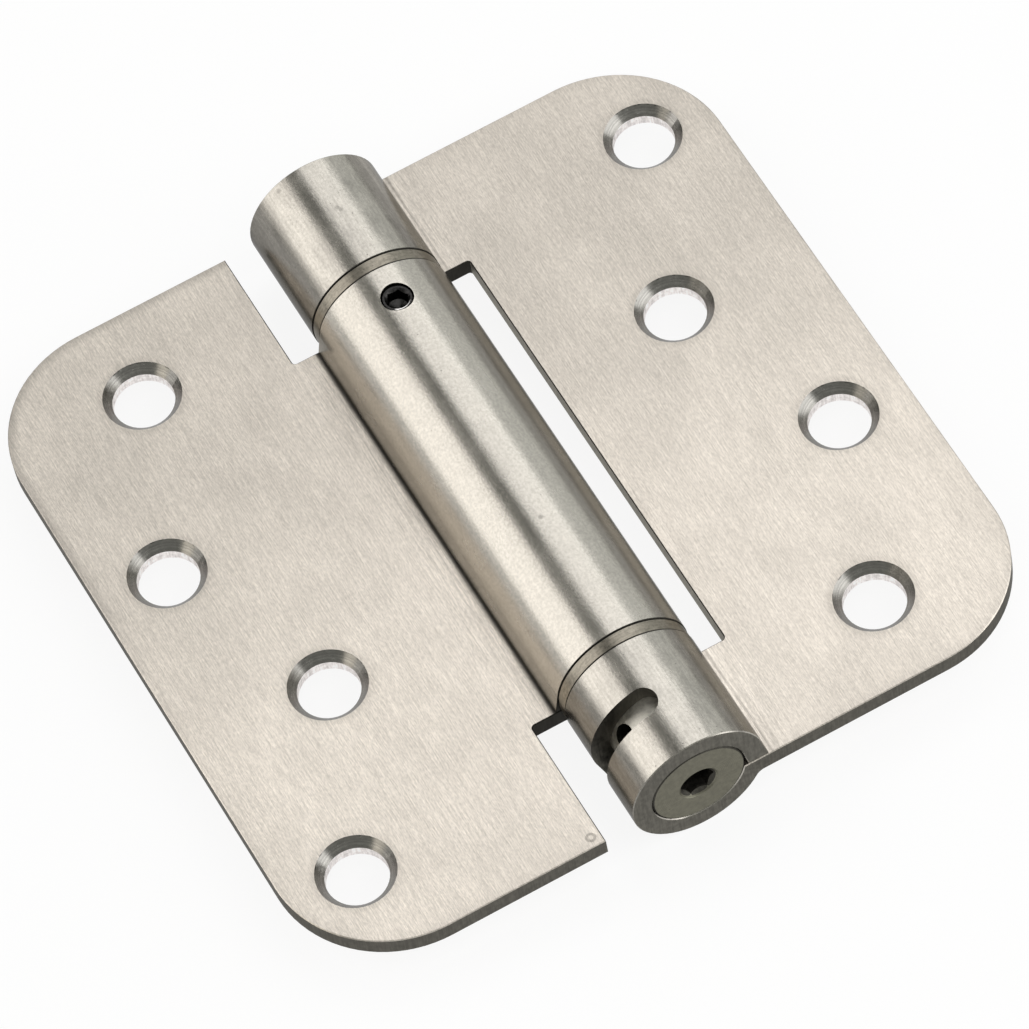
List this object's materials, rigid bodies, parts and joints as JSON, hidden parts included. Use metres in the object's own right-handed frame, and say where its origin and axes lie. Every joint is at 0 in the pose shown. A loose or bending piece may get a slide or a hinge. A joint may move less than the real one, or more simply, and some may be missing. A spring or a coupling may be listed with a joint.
{
  "type": "spring door hinge",
  "caption": "Flat open door hinge with rounded square leaves and a knuckled barrel that holds a torsion spring, wound at a slotted end knuckle.",
  "frame": {"origin": "middle of the pin axis, which is the centre of the barrel and of the open hinge", "axes": "+Y along the pin away from the slotted knuckle, +X across the frame leaf, +Z out of the countersunk face; the hinge lies open and flat"},
  "size_m": [0.1016, 0.1016, 0.0184],
  "materials": {
    "leaf_steel": "satin, brushed along the pin",
    "washer_steel": "satin",
    "turned_steel": "turned, matte",
    "black_steel": "black oxide",
    "spring_steel": "drawn wire"
  },
  "bodies": {
    "frame_side": {"frame_leaf": "leaf_steel", "upper_washer": "washer_steel", "lower_washer": "washer_steel"},
    "door_side": {"door_leaf": "leaf_steel", "pivot_plug": "turned_steel", "set_screw": "black_steel", "torsion_spring": "spring_steel"},
    "adjuster": {"adjusting_spindle": "turned_steel"}
  },
  "joints": [
    {"name": "leaf_swing", "type": "hinge", "parent": "frame_side", "child": "door_side", "pos_m": [0, 0, 0], "axis": [0, 1, 0], "range_deg": [-140, 180]},
    {"name": "spindle_turn", "type": "hinge", "parent": "door_side", "child": "adjuster", "pos_m": [0, -0.039, 0], "axis": [0, 1, 0], "range_deg": [0, 180], "stiffness_Nm_per_rad": 0.5, "deforming": ["torsion_spring"]}
  ]
}
